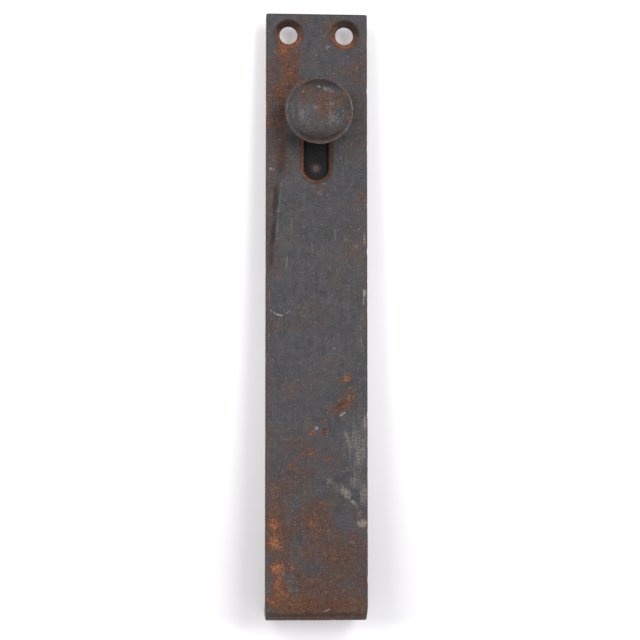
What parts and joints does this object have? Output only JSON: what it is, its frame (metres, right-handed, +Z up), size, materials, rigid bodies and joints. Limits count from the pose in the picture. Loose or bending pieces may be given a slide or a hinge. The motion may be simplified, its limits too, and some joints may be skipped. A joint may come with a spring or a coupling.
{
  "type": "angle strap slide bolt",
  "caption": "Flat door-edge bolt: a bent iron strap, countersunk screw holes, and a bar slid by a mushroom knob in a short bevelled slot.",
  "frame": {"origin": "inside corner of the bend: middle of the strap's width, at the strap's back face and the upper face of the bent end", "axes": "+Z up the strap, +X across it to the right as seen from the front, front face towards -Y"},
  "size_m": [0.0254, 0.031, 0.152],
  "materials": {
    "strap_iron": "rusted rolled iron, dark slate grey with brown and orange rust",
    "bar_iron": "dark oxidised iron with an oily film",
    "knob_iron": "handled iron, dark grey with worn edges and rust",
    "guide_iron": "rusted sheet iron",
    "spring_steel": "blued spring steel with light rust",
    "rivet_iron": "hammered iron rivet, worn and rusted"
  },
  "bodies": {
    "strap": {"face_plate": "strap_iron", "upper_guide": "guide_iron", "lower_guide": "guide_iron", "upper_guide_rivets": "rivet_iron", "lower_guide_rivets": "rivet_iron"},
    "bolt": {"bolt_bar": "bar_iron", "knob": "knob_iron", "knob_washer": "guide_iron", "friction_spring": "spring_steel", "spring_rivet": "rivet_iron"}
  },
  "joints": [
    {"name": "bolt_throw", "type": "slide", "parent": "strap", "child": "bolt", "axis": [0, 0, -1], "range_m": [0, 0.0127]}
  ]
}
